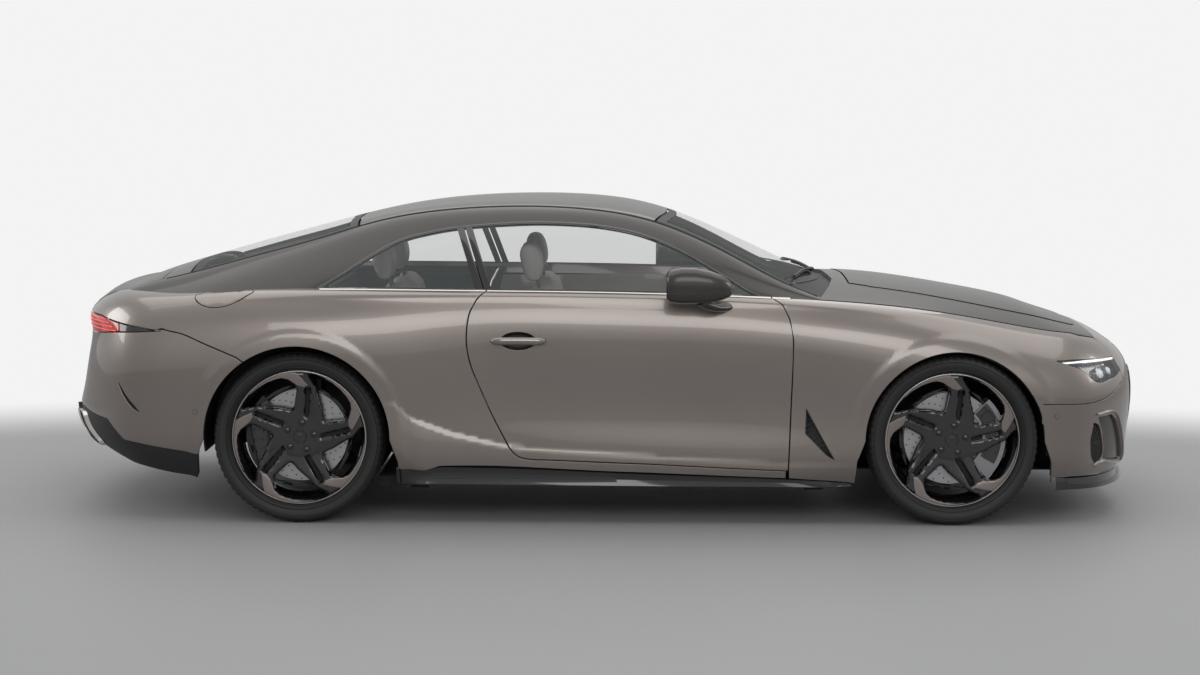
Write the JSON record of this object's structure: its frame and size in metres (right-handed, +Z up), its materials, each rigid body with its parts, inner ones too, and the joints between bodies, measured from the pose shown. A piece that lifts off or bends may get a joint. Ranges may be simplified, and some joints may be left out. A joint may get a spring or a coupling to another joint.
{
  "type": "two-door grand touring coupe car",
  "caption": "Two-tone fastback coupe with long bonnet, steered front wheels, rolling wheels, opening doors, bonnet and boot lid, and a furnished cabin behind clear glass.",
  "frame": {"origin": "on the ground under the middle of the car, the bottom centre of its bounding box", "axes": "+X points to the nose, +Y to the car's left, +Z up"},
  "size_m": [4.8491, 2.194, 1.405],
  "materials": {
    "body_paint": "satin metallic bronze",
    "roof_paint": "gloss metallic dark bronze",
    "black_trim": "moulded black plastic",
    "gloss_black": "gloss black",
    "chassis_metal": "satin black coating",
    "engine_metal": "as cast",
    "lamp_glass": "clear",
    "lamp_red": "dark red lens",
    "glass": "clear, faintly tinted",
    "dark_metal": "gloss dark bronze",
    "leather": "fine grain",
    "tyre": "matt black rubber",
    "rim": "gloss gunmetal",
    "brake_iron": "machined"
  },
  "bodies": {
    "root": {"front_bumper": "body_paint", "front_wing_left": "body_paint", "front_wing_right": "body_paint", "body_side_left": "body_paint", "body_side_right": "body_paint", "rear_bumper": "body_paint", "roof": "roof_paint", "rear_deck": "roof_paint", "wheel_arch_liners": "black_trim", "body_tub": "black_trim", "cowl": "black_trim", "lower_trim": "gloss_black", "grille": "gloss_black", "subframes": "chassis_metal", "engine": "engine_metal", "headlamps": "lamp_glass", "tail_lamps": "lamp_red", "windscreen": "glass", "rear_window": "glass", "quarter_windows": "glass", "exhaust_tips": "dark_metal", "dashboard": "leather", "front_seats": "leather", "rear_seats": "leather"},
    "bonnet": {"bonnet": "roof_paint"},
    "boot_lid": {"boot_lid": "roof_paint"},
    "door_left": {"door_left": "body_paint", "door_glass_left": "glass", "mirror_left": "dark_metal"},
    "door_right": {"door_right": "body_paint", "door_glass_right": "glass", "mirror_right": "dark_metal"},
    "knuckle_left": {"knuckle_left": "chassis_metal"},
    "knuckle_right": {"knuckle_right": "chassis_metal"},
    "steering_wheel": {"steering_wheel": "leather"},
    "wheel_front_left": {"tyre_front_left": "tyre", "rim_front_left": "rim", "disc_front_left": "brake_iron"},
    "wheel_front_right": {"tyre_front_right": "tyre", "rim_front_right": "rim", "disc_front_right": "brake_iron"},
    "wheel_rear_left": {"tyre_rear_left": "tyre", "rim_rear_left": "rim", "disc_rear_left": "brake_iron"},
    "wheel_rear_right": {"tyre_rear_right": "tyre", "rim_rear_right": "rim", "disc_rear_right": "brake_iron"}
  },
  "joints": [
    {"name": "door_left_hinge", "type": "hinge", "parent": "root", "child": "door_left", "pos_m": [0.772, 0.92, 0.6], "axis": [0, 0, -1], "range_deg": [0, 65]},
    {"name": "door_right_hinge", "type": "hinge", "parent": "root", "child": "door_right", "pos_m": [0.772, -0.92, 0.6], "axis": [0, 0, 1], "range_deg": [0, 65]},
    {"name": "bonnet_hinge", "type": "hinge", "parent": "root", "child": "bonnet", "pos_m": [0.915, 0, 0.985], "axis": [0, -1, 0], "range_deg": [0, 50]},
    {"name": "boot_hinge", "type": "hinge", "parent": "root", "child": "boot_lid", "pos_m": [-1.985, 0, 1.066], "axis": [0, 1, 0], "range_deg": [0, 75]},
    {"name": "steer_left", "type": "hinge", "parent": "root", "child": "knuckle_left", "pos_m": [1.513, 0.7675, 0.372], "axis": [0, 0, 1], "range_deg": [-30, 30]},
    {"name": "steer_right", "type": "hinge", "parent": "root", "child": "knuckle_right", "pos_m": [1.513, -0.7675, 0.372], "axis": [0, 0, 1], "range_deg": [-30, 30]},
    {"name": "steering_wheel_turn", "type": "hinge", "parent": "root", "child": "steering_wheel", "pos_m": [0.43, 0.37, 0.85], "axis": [-0.9063, 0, 0.4226], "range_deg": [-420, 420]},
    {"name": "spin_front_left", "type": "hinge", "parent": "knuckle_left", "child": "wheel_front_left", "pos_m": [1.513, 0.8125, 0.372], "axis": [0, 1, 0], "continuous": true},
    {"name": "spin_front_right", "type": "hinge", "parent": "knuckle_right", "child": "wheel_front_right", "pos_m": [1.513, -0.8125, 0.372], "axis": [0, 1, 0], "continuous": true},
    {"name": "spin_rear_left", "type": "hinge", "parent": "root", "child": "wheel_rear_left", "pos_m": [-1.338, 0.8095, 0.372], "axis": [0, 1, 0], "continuous": true},
    {"name": "spin_rear_right", "type": "hinge", "parent": "root", "child": "wheel_rear_right", "pos_m": [-1.338, -0.8095, 0.372], "axis": [0, 1, 0], "continuous": true}
  ],
  "couplings": [
    {"joint": "steer_right", "follows": "steer_left", "ratio": 1},
    {"joint": "steering_wheel_turn", "follows": "steer_left", "ratio": 14}
  ]
}
